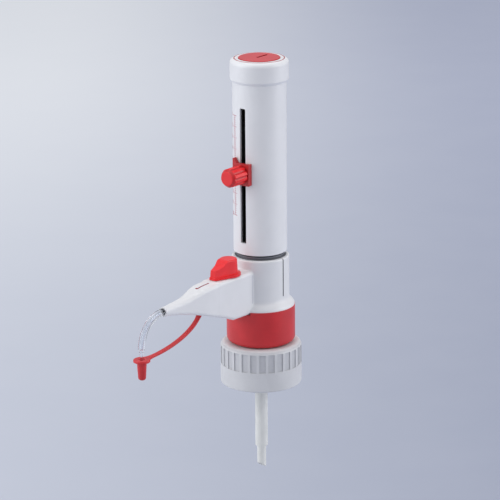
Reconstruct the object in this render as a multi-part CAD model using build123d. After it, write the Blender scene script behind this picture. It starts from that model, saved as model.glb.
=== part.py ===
from build123d import *
from math import asin, atan2, cos, degrees, hypot, pi, radians, sin, sqrt
import os

# Bottle-top dispenser. Millimetres. The origin is the centre of the plane in which the mouth gasket
# sits on the bottle's rim. +Z is up, and the discharge arm and the housing's slot point along -X.

# Driving dimensions: fits
gap = 0.3               # between parts that move past each other with no bearing duty
running = 0.08          # radial clearance of a bearing or a telescopic fit
skin = 0.05             # radial clearance of parts pushed together for good
edge = 0.6              # small broken edge of a moulding

# Driving dimensions: bottle neck
gl_major_r = 22.6       # bore of the nut over a GL 45 bottle thread
neck_bore_r = 15.0      # inside of the bottle's neck
lip_r = 21.4            # outside of the bottle's rim
gasket_t = 1.0
plug_drop = 10.0        # how far the spigot reaches into the neck
plug_wall = 3.0
flange_t = 2.0
neck_wall_r = 15.3      # outside of the spigot's neck, on which the nut turns

# Driving dimensions: screw nut
nut_r = 27.0
nut_skirt = 22.0        # from the seat plane to the lower rim
nut_top_t = 3.1
nut_shoulder = 3.4
nut_grips = 28
grip_depth = 0.7
grip_len = 12.4
grip_drop = 2.4         # from the nut's top face to the upper end of a grip
grip_share = 0.70       # width of a groove over the pitch
grip_turn = 2.1         # degrees by which the grooves are turned from the arm's line

# Driving dimensions: red collar
collar_r = 22.7
collar_h = 25.2
collar_wall = 1.8
collar_floor_t = 2.2
collar_toe = 3.6

# Driving dimensions: shells round the valve block
shell_r = 19.0
shell_h = 34.1          # from the collar's top edge to the shells' rim
shell_wall = 1.5
shell_rim_lip = 0.7
foot_flare_h = 6.8
seam_gap = 0.6
seam_start = 8.0        # height above the collar at which the seam opens
root_fillet = 1.2       # where the arm's sides meet the shells' cylinder

# Driving dimensions: arm
arm_half_w = 7.3
arm_root_spread = 0.7   # by which the arm's sides widen towards the shells
arm_top = 27.4          # arm's top face over the collar's top edge
arm_drop = 1.6          # arm's lower edge below the collar's top edge
arm_knee = 36.0         # distance from the axis at which the underside starts to rise
arm_reach = 99.0
nose_r = 3.0
arm_wall = 1.4
arm_corner = 2.2
line_z_over_collar = 19.1   # axis of the discharge line over the collar's top edge

# Driving dimensions: housing and cap
housing_r = 17.7
housing_wall = 1.5
housing_len = 124.0
housing_gap = 3.1       # from the shells' rim to the housing's lower edge
slot_w = 4.5
slot_len = 90.2
slot_up = 7.9           # slot's lower end over the housing's lower edge
rack_wall = 1.4
rack_slot_w = 3.5
rack_teeth = 40
rack_tooth_w = 0.5
cap_wall = 1.5
cap_r = housing_r + cap_wall
cap_h = 15.0
cap_top_t = 2.4
cap_shoulder = 3.2
cap_toe = 1.8
cap_over = 10.4         # how far the cap's skirt covers the housing
cover_r = 13.7
cover_t = 1.5
cover_proud = 0.5
cover_slit_l = 11.0
cover_slit_w = 1.7
cover_slit_d = 0.9
cap_groove_in = 1.4       # how far the groove lies inside the housing's radius
cap_groove_r = housing_r - cap_groove_in
cap_groove_w = 0.6

# Driving dimensions: measuring set
bore_r = 6.55
stroke = 74.0
glass_wall = 1.75
sleeve_wall = 1.8
stop_collar_t = 4.0
stop_collar_out = 1.8
piston_head_h = 7.0
piston_lip = 1.6
rod_r = 3.2
carrier_t = 7.0
carrier_drop = 14.0     # from the housing's upper edge to the carrier's underside
guide_h = 5.6
adjuster_r = 6.0
ring_visible_h = 4.7
ring_in = 1.4             # how far the ring stands back from the housing
ring_r = housing_r - ring_in

# Driving dimensions: pointer
pointer_z = 124.0       # height of the clamp screw's axis as set in the photograph
plate_w = 13.2
plate_h = 14.4
plate_t = 2.0
horn_h = 2.8
horn_w = 4.2
tongue_h = 8.0
knob_r = 6.2
knob_len = 14.0
knob_flutes = 10
flute_depth = 0.55
knob_chamfer = 1.7
screw_r = 1.6

# Driving dimensions: recirculation knob
tap_x = 33.3            # distance of the spindle from the axis
tap_r = 6.2
tap_base_r = 8.0
tap_base_t = 1.6
tap_h = 11.2
tap_crown = 0.9         # rounding of the grip's upper edge
tap_nose = 16.4         # from the spindle's axis to the end of the nose
tap_nose_half_w = 2.2
tap_nose_h = 5.6
spindle_r = 3.4

# Driving dimensions: liquid line
line_bore_r = 1.2
boss_r = 5.2
boss_past_tap = 12.7    # from the spindle to the socket end of the line's boss
return_drop = 7.0       # return channel below the discharge line
return_boss_r = 3.3
boss_reach = tap_x + boss_past_tap
chamber_r = 2.6
discharge_ball_r = 2.0
discharge_lift = 1.2
filling_ball_r = 2.75
filling_lift = 1.5
filling_body_r = 4.9
filling_body_up = 12.0      # above the block's base flange
filling_body_down = 8.0     # below it
filling_throat_share = 0.75
core_wall = 9.0         # wall of the valve block round the filling valve
seat_t = 2.0
chamber_x0 = 16.0
tube_r = 2.25
tube_bore_r = 0.85
tube_socket = 6.0         # depth of the tube's socket in the valve block
tube_entry = 5.5          # how deep the tube sits in it
bend_r = 19.6
tip_r = 1.1
tip_bore_r = 0.5
tip_len = 14.0
end_ring_h = 1.8

# Driving dimensions: closure cap and strap
closure_drop = 6.3      # from the tube's end ring to the closure's upper face
closure_flange_r = 5.4
closure_flange_t = 1.5
closure_body_r = 3.2
closure_end_r = 2.4
closure_len = 13.7
closure_hole_l = 9.0
strap_w = 3.2
strap_t = 1.5
strap_hole_x = 63.5
strap_plug_r = 1.4

# Driving dimensions: tubes in the bottle
intake_r = 4.2
intake_wall = 1.1
intake_inner_wall = 0.9
intake_upper_end = 68.0     # below the seat plane
intake_lower_end = 86.0
intake_travel = 50.0
nipple_h = 9.0
return_tube_r = 1.9
return_bend_r = 8.0
return_tube_x = 7.9
return_tube_end = 14.0
return_hook_out = 3.4
return_hook_drop = 9.0

# Levels along Z, from the seat plane up
flange_top = gasket_t + flange_t
nut_plate_z = flange_top + gap
nut_top = nut_plate_z + nut_top_t
collar_z = nut_top + gap
collar_top = collar_z + collar_h
block_base = collar_z + collar_floor_t
shell_top = collar_top + shell_h
arm_top_z = collar_top + arm_top
arm_low_z = collar_top - arm_drop
line_z = collar_top + line_z_over_collar
return_z = line_z - return_drop
housing_z = shell_top + housing_gap
housing_top = housing_z + housing_len
slot_z0 = housing_z + slot_up
slot_z1 = slot_z0 + slot_len
cap_z = housing_top - cap_over
cap_top = cap_z + cap_h

# Radii worked out from the inside to the outside of the measuring set
glass_r = bore_r + glass_wall
sleeve_bore_r = glass_r + 3 * skin
sleeve_r = sleeve_bore_r + sleeve_wall
stop_r = sleeve_r + stop_collar_out
head_r = bore_r - skin
housing_bore_r = housing_r - housing_wall
rack_r = housing_bore_r - skin
rack_bore_r = rack_r - rack_wall
guide_bore_r = sleeve_r + running
ring_bore_r = sleeve_r + gap

# Levels inside the valve block
glass_z = line_z + 3.5
head_z = glass_z + 1.0
sleeve_foot_z = glass_z + 2.5
sleeve_foot_t = 2.5
sleeve_foot_r = stop_r + 0.8
guide_z = housing_z + edge
stop_z = guide_z + guide_h + stroke + 0.8
glass_top = stop_z - 1.0
sleeve_top = stop_z + stop_collar_t
ring_top = shell_top + housing_gap - gap
ring_z = ring_top - ring_visible_h
carrier_z = housing_top - carrier_drop
carrier_top = carrier_z + carrier_t

# Liquid line: filling valve, discharge valve, spindle, tube and closure
filling_top = block_base + filling_body_up
filling_low = block_base - filling_body_down
filling_throat = filling_ball_r * filling_throat_share
chamber_x1 = chamber_x0 + seat_t + 2 * discharge_ball_r + discharge_lift + 1.0
spindle_low = line_z - 3.6
bend_x = arm_reach + 1.4
outlet_x = bend_x + bend_r
outlet_z = line_z - bend_r
closure_top = outlet_z - closure_drop
intake_bore = intake_r - intake_wall
intake_inner_r = intake_bore - running
intake_top = filling_low - gap
nipple_r = intake_bore - skin


def ring(outer, inner, low, high):
    """A plain ring about the Z axis."""
    height = high - low
    tube = Cylinder(outer, height) - Cylinder(inner, height)
    return Pos(0, 0, (low + high) / 2) * tube


def disc(radius, low, high, x=0.0, y=0.0):
    """A plain disc or rod parallel to the Z axis."""
    return Pos(x, y, (low + high) / 2) * Cylinder(radius, high - low)


def rod_x(radius, x0, x1, z, y=0.0):
    """A rod along X between two distances on the arm's side, measured from the axis outward."""
    return Pos(-(x0 + x1) / 2, y, z) * Rot(0, 90, 0) * Cylinder(radius, abs(x1 - x0))


def block_between(x0, x1, y0, y1, z0, z1):
    """A box from its two corners."""
    return Pos((x0 + x1) / 2, (y0 + y1) / 2, (z0 + z1) / 2) * Box(x1 - x0, y1 - y0, z1 - z0)


def turned(points):
    """A body turned about Z from its half section, given as (radius, height) pairs."""
    section = make_face(Plane.XZ * Polyline(*points, close=True))
    return revolve(section, Axis.Z)


def circles_at(shape, z, tolerance=0.02):
    """The round edges of a shape that lie in one horizontal plane."""
    found = shape.edges().filter_by(GeomType.CIRCLE)
    return [e for e in found if abs(e.center().Z - z) < tolerance and abs(e.bounding_box().size.Z) < tolerance]


def outermost(edges, radius, tolerance=0.05):
    """Of some round edges, those of one radius."""
    return [e for e in edges if abs(e.radius - radius) < tolerance]


def write(name, shape):
    """One file for one piece."""
    solids = shape.solids()
    body = solids[0] if len(solids) == 1 else Compound(children=list(solids))
    export_step(body, "parts/" + name + ".step")


# Mouth of the bottle: spigot, gasket and nut
def make_mount_spigot():
    plug_r = neck_bore_r - 0.5
    bore = plug_r - plug_wall
    body = ring(plug_r, bore, -plug_drop, flange_top)
    body += ring(lip_r, bore, gasket_t, flange_top)
    body += ring(neck_wall_r, bore, flange_top, block_base)
    lead = outermost(circles_at(body, -plug_drop), plug_r)
    return chamfer(lead, edge)


def make_mouth_gasket():
    return ring(lip_r - 2 * skin, neck_bore_r + 2 * gap, 0, gasket_t)


def make_screw_nut():
    body = disc(nut_r, -nut_skirt, nut_top)
    body = fillet(outermost(circles_at(body, nut_top), nut_r), nut_shoulder)
    body = fillet(outermost(circles_at(body, -nut_skirt), nut_r), 2 * edge)
    body -= disc(gl_major_r, -nut_skirt, nut_plate_z)
    body -= disc(neck_wall_r + gap, nut_plate_z, nut_top)
    groove_w = 2 * pi * nut_r / nut_grips * grip_share
    groove_z = nut_top - grip_drop - grip_len / 2
    groove = Pos(nut_r + nut_shoulder / 2 - grip_depth, 0, groove_z) * Box(nut_shoulder, groove_w, grip_len)
    grooves = [Rot(0, 0, grip_turn + 360 * i / nut_grips) * groove for i in range(nut_grips)]
    return body - grooves


# Red collar: a cup that stands on the nut's side of the valve block
def arm_envelope(clearance):
    """The root of the arm with a clearance all round, used to cut what it passes."""
    far = arm_half_w + clearance
    near = far + arm_root_spread
    plan = Polyline((-arm_knee, -far), (-neck_wall_r, -near), (-neck_wall_r, near), (-arm_knee, far), close=True)
    low = arm_low_z - clearance
    return Pos(0, 0, low) * extrude(make_face(plan), arm_top_z - low)


def make_base_collar():
    body = disc(collar_r, collar_z, collar_top)
    body = fillet(outermost(circles_at(body, collar_z), collar_r), collar_toe)
    body -= disc(collar_r - collar_wall, block_base, collar_top)
    body -= disc(neck_wall_r + skin, collar_z, block_base)
    return body - arm_envelope(gap)


# White shells
def shell_outline(inset):
    """Half section of the shells' outer skin, or of their cavity when inset."""
    r_top = shell_r - inset
    r_foot = collar_r - 0.2 - inset
    z_top = shell_top if inset == 0 else shell_top - 1.6
    z_flare = collar_top + foot_flare_h
    return r_top, r_foot, z_top, z_flare


def shell_solid(inset):
    r_top, r_foot, z_top, z_flare = shell_outline(inset)
    swell = r_foot - r_top
    flare = Spline(
        (r_top, z_flare),
        (r_top + swell * 0.16, collar_top + foot_flare_h * 0.66),
        (r_top + swell * 0.50, collar_top + foot_flare_h * 0.46),
        (r_foot - swell * 0.08, collar_top + foot_flare_h * 0.18),
        (r_foot, collar_top),
        tangents=((0, -1), (0.05, -1)),
    )
    rest = Polyline((r_foot, collar_top), (0, collar_top), (0, z_top), (r_top, z_top), (r_top, z_flare))
    return revolve(make_face(Plane.XZ * (flare + rest)), Axis.Z)


def arm_section(x, low, high, half, corner, inset):
    """One cross section of the arm, a rounded rectangle at a distance from the axis."""
    w = 2 * (half - inset)
    h = high - low - 2 * inset
    inner_corner = max(corner - inset, 0.4)
    plane = Plane(origin=(-x, 0, (low + high) / 2), x_dir=(0, -1, 0), z_dir=(-1, 0, 0))
    return plane * RectangleRounded(w, h, inner_corner)


def arm_solid(inset, x_start, x_end):
    """The arm's outer skin, or its cavity when inset: a straight root and a tapering reach."""
    rise = line_z - nose_r - arm_low_z
    fall = arm_top_z - line_z - nose_r
    taper = arm_half_w - nose_r - 0.15
    # Share of the reach, of the underside's rise, of the top's fall and of the taper in plan
    shoulder = ((0.00, 0.00, 0.00, 0.00), (0.08, 0.12, 0.00, 0.00), (0.24, 0.33, 0.00, 0.00))
    neck = (
        (0.24, 0.33, 0.00, 0.00),
        (0.41, 0.52, 0.19, 0.07),
        (0.52, 0.645, 0.45, 0.29),
        (0.62, 0.74, 0.73, 0.55),
        (0.73, 0.83, 0.90, 0.76),
        (0.87, 0.93, 0.98, 0.92),
        (1.00, 1.00, 1.00, 1.00),
    )

    def sections(stations):
        faces = []
        for along, up, down, narrow in stations:
            x = arm_knee + along * (arm_reach - arm_knee)
            if x > x_end + 0.01:
                break
            corner = arm_corner + narrow * (0.9 * nose_r - arm_corner)
            low = arm_low_z + up * rise
            high = arm_top_z - down * fall
            faces.append(arm_section(x, low, high, arm_half_w - narrow * taper, corner, inset))
        return faces

    spread = arm_half_w + arm_root_spread * (arm_knee - x_start) / (arm_knee - neck_wall_r)
    root = loft(
        [
            arm_section(x_start, arm_low_z, arm_top_z, spread, arm_corner, inset),
            arm_section(arm_knee, arm_low_z, arm_top_z, arm_half_w, arm_corner, inset),
        ],
        ruled=True,
    )
    return root + loft(sections(shoulder), ruled=True) + loft(sections(neck))


def root_edge(e):
    """The upright edges in which the arm's sides meet the shells' cylinder."""
    box = e.bounding_box()
    flat = box.size.X < edge and box.size.Y < edge
    beside = abs(abs(box.center().Y) - arm_half_w) < 1.5 * arm_root_spread
    return flat and beside and box.size.Z > foot_flare_h and abs(hypot(box.center().X, box.center().Y) - shell_r) < gap


def make_shells():
    skin_body = shell_solid(0)
    skin_body = fillet(outermost(circles_at(skin_body, shell_top), shell_r), 2 * edge)
    hollow = shell_solid(shell_wall) + disc(shell_r - shell_wall - shell_rim_lip, shell_top - 2, shell_top)
    arm = arm_solid(0, shell_r - 2 * shell_wall, arm_reach)
    cavity = arm_solid(arm_wall, neck_wall_r, arm_knee + 0.88 * (arm_reach - arm_knee))
    whole = skin_body - hollow
    big = 4 * collar_r
    rear_half = block_between(0, big, -big, big, collar_top - big, shell_top + big)
    front_half = block_between(-big, 0, -big, big, collar_top - big, shell_top + big)
    seam = block_between(
        -seam_gap / 2, seam_gap / 2, -big, big, collar_top + seam_start, shell_top + big
    )
    rear = whole & rear_half
    front = (whole & front_half) + arm
    upright = front.edges().filter_by(lambda e: root_edge(e))
    front = fillet(upright, root_fillet)
    front -= shell_solid(shell_wall) & front_half
    front -= cavity
    front -= rod_x(tube_r + skin, arm_reach / 2, arm_reach + 1, line_z)
    front -= disc(spindle_r + gap, line_z, arm_top_z + 1, x=-tap_x)
    front -= strap_socket(gap / 3)
    return front - seam, rear - seam


def strap_socket(clearance):
    """The hole for the strap's plug in the arm's underside."""
    return disc(strap_plug_r + clearance, arm_low_z, line_z - tube_r - 1, x=-strap_hole_x)


# Valve block with its channels
def make_valve_block():
    base_r = collar_r - collar_wall - 0.1
    plug_bore = neck_bore_r - 0.5 - plug_wall
    head_outer = ring_r + 0.2
    body = disc(plug_bore - 0.2, block_base - 4, block_base)
    body += disc(base_r, block_base, block_base + 3)
    body += disc(filling_ball_r + core_wall, block_base + 3, glass_z + 3)
    body += turned(
        (
            (0, line_z + boss_r * 0.2),
            (filling_ball_r + core_wall, line_z + boss_r * 0.2),
            (head_outer, glass_z + 1.5),
            (head_outer, ring_z),
            (0, ring_z),
        )
    )
    body += rod_x(boss_r, 0, boss_reach, line_z)
    body += disc(boss_r, return_z, line_z, x=-tap_x)
    body += rod_x(return_boss_r, 0, tap_x + return_boss_r, return_z)
    # Socket of the glass cylinder, cup of the sleeve's foot and thread of the locking ring
    body -= disc(glass_r + skin, glass_z, ring_z)
    body -= disc(sleeve_foot_r + skin, sleeve_foot_z, ring_z)
    # Suction channel up the middle, with the filling valve's seat bore below
    body -= disc(2 * line_bore_r, block_base - 4, glass_z)
    body -= disc(filling_body_r + skin, block_base - 4, filling_top)
    body -= disc(filling_ball_r + 0.4, filling_top, filling_top + filling_ball_r * 2 + filling_lift)
    # Discharge line out through the arm
    body -= rod_x(line_bore_r, 0, boss_reach, line_z)
    body -= rod_x(chamber_r, chamber_x0, chamber_x1, line_z)
    body -= rod_x(tube_r + skin, boss_reach - tube_socket, boss_reach, line_z)
    # Tapping for the spindle and the return channel back to the bottle
    body -= disc(spindle_r + running, spindle_low, line_z + boss_r + 1, x=-tap_x)
    body -= disc(line_bore_r, return_z, spindle_low, x=-tap_x)
    body -= rod_x(line_bore_r, return_tube_x, tap_x, return_z)
    body -= disc(line_bore_r, block_base, return_z, x=-return_tube_x)
    body -= disc(return_tube_r + skin, block_base - 4, block_base + 3, x=-return_tube_x)
    return body


def seat_height(ball_r, throat_r):
    """How far a ball's centre stands above the round edge it rests on."""
    return sqrt(ball_r**2 - throat_r**2)


def make_filling_valve_housing():
    cone_h = 1.2
    body = disc(filling_body_r, filling_low, filling_top)
    body += disc(nipple_r, filling_low - nipple_h, filling_low)
    body -= Pos(0, 0, filling_top - cone_h / 2) * Cone(filling_throat, filling_throat + 0.9, cone_h)
    return body - disc(filling_throat, filling_low - nipple_h, filling_top)


def make_filling_valve_ball():
    seat_edge = filling_top - 1.2
    # The ball touches the cone a little above its lower edge, so it stands a little higher
    z = seat_edge + seat_height(filling_ball_r, filling_throat) + 0.35
    return Pos(0, 0, z) * Sphere(filling_ball_r)


def make_discharge_valve_seat():
    body = rod_x(chamber_r - skin, chamber_x0, chamber_x0 + seat_t, line_z)
    return body - rod_x(line_bore_r + 0.2, chamber_x0 - 1, chamber_x0 + seat_t + 1, line_z)


def make_discharge_valve_ball():
    throat = line_bore_r + 0.2
    x = chamber_x0 + seat_t + seat_height(discharge_ball_r, throat) + 0.1
    return Pos(-x, 0, line_z) * Sphere(discharge_ball_r)


# Measuring set
def make_glass_cylinder():
    return ring(glass_r, bore_r, glass_z, glass_top)


def make_cylinder_sleeve():
    body = ring(sleeve_r, sleeve_bore_r, sleeve_foot_z, stop_z)
    body += ring(sleeve_foot_r, sleeve_bore_r, sleeve_foot_z, sleeve_foot_z + sleeve_foot_t)
    body += ring(stop_r, rod_r + 2, stop_z, sleeve_top)
    upper = outermost(circles_at(body, sleeve_top), stop_r)
    return chamfer(upper, edge)


def make_locking_ring():
    foot = sleeve_foot_z + sleeve_foot_t
    body = ring(ring_r, ring_bore_r, ring_z, ring_top)
    body += ring(sleeve_foot_r, ring_bore_r, foot, ring_z)
    waist = ring(ring_r + 1, ring_r - 0.7, ring_top - 2.3, ring_top - 1.5)
    return body - waist


# Piston set, carried by the housing
def make_piston_head():
    lip = bore_r - 2.2
    body = disc(head_r, head_z, head_z + piston_head_h)
    body -= ring(head_r + 1, head_r - 0.5, head_z + piston_lip, head_z + piston_head_h - piston_lip)
    body -= disc(rod_r, head_z + 2.5, head_z + piston_head_h)
    cup = Pos(0, 0, head_z + 0.4) * Cone(lip, lip - 0.9, 0.8)
    return body - cup


def make_piston_rod():
    return disc(rod_r, head_z + 2.5, carrier_top - 1.5)


def make_rod_carrier():
    screw_seat_r = 6.0
    body = disc(rack_bore_r - skin, carrier_z, carrier_top)
    body -= disc(rod_r, carrier_z, carrier_top - 1.5)
    pocket = Pos((rack_bore_r + screw_seat_r) / 2, 0, carrier_top) * Cylinder(2.4, 2 * (carrier_t - 2))
    body -= [Rot(0, 0, 45 + 90 * i) * pocket for i in range(4)]
    body += ring(screw_seat_r + 1.6, screw_seat_r + running, carrier_top - 0.01, carrier_top + 3.0)
    return body


def make_calibration_screw():
    low = carrier_top + running
    high = cap_top - cap_top_t - gap
    body = disc(adjuster_r, low, high)
    slot = block_between(-4.5, 4.5, -1.0, 1.0, high - 1.6, high + 1)
    body = chamfer(outermost(circles_at(body, high), adjuster_r), edge)
    return body - slot


# Housing, cap and cover
def slot_box(width, z0, z1):
    return block_between(-housing_r - 5, -6, -width / 2, width / 2, z0, z1)


def make_housing():
    body = ring(housing_r, housing_bore_r, housing_z, housing_top)
    body = fillet(outermost(circles_at(body, housing_z), housing_r), edge)
    corner = 0.7
    cutter = slot_box(slot_w, slot_z0, slot_z1)
    cutter = fillet(cutter.edges().filter_by(Axis.X), corner)
    return body - cutter


def make_rack_tube():
    low = guide_z + guide_h + gap
    body = ring(rack_r, rack_bore_r, low, housing_top - 0.2)
    z0 = slot_z0 + edge
    z1 = slot_z1 - edge
    body -= slot_box(rack_slot_w, z0, z1)
    pitch = (z1 - z0) / rack_teeth
    notch = Pos(-rack_r, 0, 0) * Box(2 * rack_wall, rack_slot_w + 2 * rack_tooth_w, pitch / 2)
    notches = [Pos(0, 0, z0 + (i + 0.5) * pitch) * notch for i in range(rack_teeth)]
    return body - notches


def make_guide_ring():
    body = ring(housing_bore_r - skin, guide_bore_r, guide_z, guide_z + guide_h)
    pocket_r = (housing_bore_r + guide_bore_r) / 2
    pocket = disc(1.6, guide_z + 1.2, guide_z + guide_h, x=pocket_r)
    return body - [Rot(0, 0, 30 + 60 * i) * pocket for i in range(6)]


def make_top_cap():
    body = disc(cap_r, cap_z, cap_top)
    body = fillet(outermost(circles_at(body, cap_top), cap_r), cap_shoulder)
    body = chamfer(outermost(circles_at(body, cap_z), cap_r), length=cap_toe, length2=cap_toe * 0.75)
    under = cap_top - cap_top_t
    body -= disc(housing_r, cap_z, housing_top)
    body -= disc(housing_bore_r, housing_top, under)
    body -= disc(cover_r + running, cap_top - cover_t + cover_proud, cap_top)
    body -= disc(cover_r - 2, under - 1, cap_top)
    groove = ring(cap_groove_r + cap_groove_w / 2, cap_groove_r - cap_groove_w / 2, cap_top - 0.5, cap_top + 1)
    return body - groove


def make_calibration_cover():
    low = cap_top - cover_t + cover_proud
    high = cap_top + cover_proud
    body = disc(cover_r, low, high)
    body = fillet(outermost(circles_at(body, high), cover_r), edge)
    slit = Pos(3.0, 0, high - cover_slit_d / 2 + 0.5) * Box(cover_slit_l, cover_slit_w, cover_slit_d + 1)
    return body - slit


# Pointer: plate outside, slider inside, thumb screw through the slot
def make_pointer_plate():
    inner = housing_r + gap
    outer = inner + plate_t
    half = plate_w / 2
    low = pointer_z - plate_h / 2
    high = pointer_z + plate_h / 2
    back = housing_r / 2
    body = block_between(-outer, -back, -half, half, low, high)
    horn = Polyline(
        (half - horn_w, high - 1), (half - 0.8, high + horn_h), (half, high + horn_h), (half, high - 1), close=True
    )
    body += extrude(Plane(origin=(-outer, 0, 0), x_dir=(0, 1, 0), z_dir=(1, 0, 0)) * make_face(horn), outer - back)
    body = fillet(body.edges().filter_by(Axis.X).sort_by(Axis.Z)[0:2], edge)
    body -= disc(inner, low - 1, high + horn_h + 1)
    tongue_w = rack_slot_w - 2 * gap
    tongue_x = rack_bore_r - gap
    body += block_between(
        -outer + 0.5, -tongue_x, -tongue_w / 2, tongue_w / 2, pointer_z - tongue_h / 2, pointer_z + tongue_h / 2
    )
    return body - rod_x(screw_r + running, tongue_x - 2, outer + 1, pointer_z)


def make_clamp_block():
    outer = rack_bore_r - gap
    inner = stop_r + gap
    half_w = 5.0
    half_h = tongue_h / 2 + 1.5
    arc = ring(outer, inner, pointer_z - half_h, pointer_z + half_h)
    body = arc & block_between(-outer - 1, -inner / 2, -half_w, half_w, pointer_z - 2 * half_h, pointer_z + 2 * half_h)
    return body - rod_x(screw_r + skin, inner - 2, outer + 1, pointer_z)


def make_thumb_knob():
    start = housing_r + 2 * gap + plate_t
    length = knob_len
    body = Cylinder(knob_r, length)
    ends = outermost(circles_at(body, length / 2), knob_r)
    body = chamfer(ends, length=knob_chamfer * 1.3, length2=knob_chamfer)
    flute_r = 1.5
    flute_reach = knob_r + flute_r - flute_depth
    flute = Pos(flute_reach, 0, -knob_chamfer) * Cylinder(flute_r, length)
    body -= [Rot(0, 0, 360 * (i + 0.5) / knob_flutes) * flute for i in range(knob_flutes)]
    body -= Pos(0, 0, -length / 2) * Cylinder(screw_r, length)
    return Pos(-start - length / 2, 0, pointer_z) * Rot(0, -90, 0) * body


def make_clamp_screw():
    inner = stop_r + 2 * gap
    outer = housing_r + 2 * gap + plate_t + knob_len / 2
    return rod_x(screw_r, inner, outer, pointer_z)


# Recirculation knob on the arm
def drop_outline(radius, nose, half_w):
    """A round with a nose: the circle, its tangents and the nose's end, in the plan of the knob."""
    reach = hypot(nose, half_w)
    swing = degrees(atan2(half_w, nose))
    open_angle = degrees(asin(min(0.98, sqrt(max(0.0, reach**2 - radius**2)) / reach)))
    angle = radians(swing + open_angle)
    tx = radius * cos(angle)
    ty = radius * sin(angle)
    upper = (-tx, ty)
    lower = (-tx, -ty)
    back = ThreePointArc(lower, (radius, 0), upper)
    nose_line = Polyline(upper, (-nose, half_w), (-nose, -half_w), lower)
    return make_face(back + nose_line)


def make_recirculation_knob():
    foot = extrude(drop_outline(tap_base_r, tap_nose, tap_nose_half_w + 0.3), tap_base_t)
    grip = extrude(drop_outline(tap_r, tap_nose - 0.3, tap_nose_half_w), tap_h, taper=3)
    grip = fillet(grip.edges().group_by(Axis.Z)[-1], tap_crown)
    far = -tap_nose - 2
    brow_x = -tap_nose * 0.6
    crown_x = -tap_nose * 0.25
    side = Polyline((far, tap_nose_h), (-tap_nose + 2.5, tap_nose_h + 1.0), (brow_x, tap_nose_h + 2.2))
    rise = Spline(
        (brow_x, tap_nose_h + 2.2), (-tap_nose * 0.42, tap_nose_h + 4.6), (crown_x, tap_h + 0.2),
        tangents=((1, 0.35), (1, 0.25)),
    )
    lid = Polyline((crown_x, tap_h + 0.2), (crown_x, tap_h + 4), (far, tap_h + 4), (far, tap_nose_h))
    slope = extrude(Plane.XZ * make_face(side + rise + lid), tap_base_r + 2, both=True)
    body = foot + (grip - slope)
    body -= Pos(0, 0, tap_h / 4) * Cylinder(spindle_r - 0.6, tap_h / 2)
    return Pos(-tap_x, 0, arm_top_z + gap) * body


def make_recirculation_spindle():
    base_z = arm_top_z + gap
    body = disc(spindle_r, spindle_low + running, base_z, x=-tap_x)
    body += disc(spindle_r - 0.6, base_z, base_z + tap_h / 2, x=-tap_x)
    return body - rod_x(line_bore_r, tap_x - spindle_r - 1, tap_x + spindle_r + 1, line_z)


# Discharge tube, its tip, the closure cap and the strap
def tube_path():
    straight = Line((-(boss_reach - tube_entry), 0, line_z), (-bend_x, 0, line_z))
    bend = ThreePointArc(
        (-bend_x, 0, line_z),
        (-(bend_x + bend_r * sin(pi / 4)), 0, line_z - bend_r * (1 - cos(pi / 4))),
        (-outlet_x, 0, outlet_z),
    )
    return straight + bend


def make_discharge_tube():
    path = tube_path()
    start = Plane(origin=(-(boss_reach - tube_entry), 0, line_z), z_dir=(-1, 0, 0))
    return sweep(start * (Circle(tube_r) - Circle(tube_bore_r)), path)


def make_discharge_tip():
    low = outlet_z - end_ring_h
    body = ring(tube_r * 0.72, tip_bore_r, low, outlet_z)
    body += ring(tip_r, tip_bore_r, outlet_z - tip_len, low)
    return Pos(-outlet_x, 0, 0) * body


def make_closure_cap():
    low = closure_top - closure_len
    body = turned(
        (
            (0, low),
            (closure_end_r, low),
            (closure_body_r, closure_top - closure_flange_t),
            (closure_flange_r, closure_top - closure_flange_t),
            (closure_flange_r, closure_top),
            (0, closure_top),
        )
    )
    body = fillet(outermost(circles_at(body, low), closure_end_r), closure_end_r * 0.7)
    rim = outermost(circles_at(body, closure_top), closure_flange_r)
    body = fillet(rim, edge * 0.8)
    hole = disc(tip_r + skin, closure_top - closure_hole_l, closure_top)
    hole += Pos(0, 0, closure_top - 0.5) * Cone(tip_r + skin, tip_r + 1.2, 1.0)
    return Pos(-outlet_x, 0, 0) * (body - hole)


def strap_points():
    """From the edge of the closure's flange to just under the arm, bowed downward."""
    z0 = closure_top - closure_flange_t / 2
    x0 = outlet_x - closure_flange_r - skin
    x1 = strap_hole_x
    z1 = arm_underside(strap_hole_x) - gap
    return (x0, z0), (x1, z1)


def arm_underside(x):
    """Height of the arm's underside at a distance from the axis, near enough for the strap's plug."""
    share = (x - arm_knee) / (arm_reach - arm_knee)
    rise = line_z - nose_r - arm_low_z
    return arm_low_z + rise * (1.44 * share - 0.44 * share**2)


def make_closure_strap():
    (x0, z0), (x1, z1) = strap_points()
    end_z = z1 - strap_t / 4
    reach = x0 - x1
    rise = end_z - z0
    path = Bezier(
        (-x0, 0, z0), (-(x0 - 0.44 * reach), 0, z0), (-(x1 + 0.12 * reach), 0, z0 + 0.38 * rise), (-x1, 0, end_z)
    )
    section = Plane(origin=(-x0, 0, z0), z_dir=path % 0) * Rectangle(strap_t, strap_w)
    return sweep(section, path)


def make_strap_plug():
    low = arm_underside(strap_hole_x) - gap
    body = disc(strap_plug_r, low, line_z - tube_r - 2.5, x=-strap_hole_x)
    return body


# Tubes that hang in the bottle
def make_intake_tube_upper():
    return ring(intake_r, intake_bore, -intake_upper_end, intake_top)


def make_intake_tube_lower():
    top = -intake_upper_end + intake_travel
    body = ring(intake_inner_r, intake_inner_r - intake_inner_wall, -intake_lower_end, top)
    across = 8 * intake_inner_r
    wedge = Pos(0, 0, -intake_lower_end) * Rot(0, 35, 0) * Box(across, across, 2 * intake_inner_r)
    return body - wedge


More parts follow.
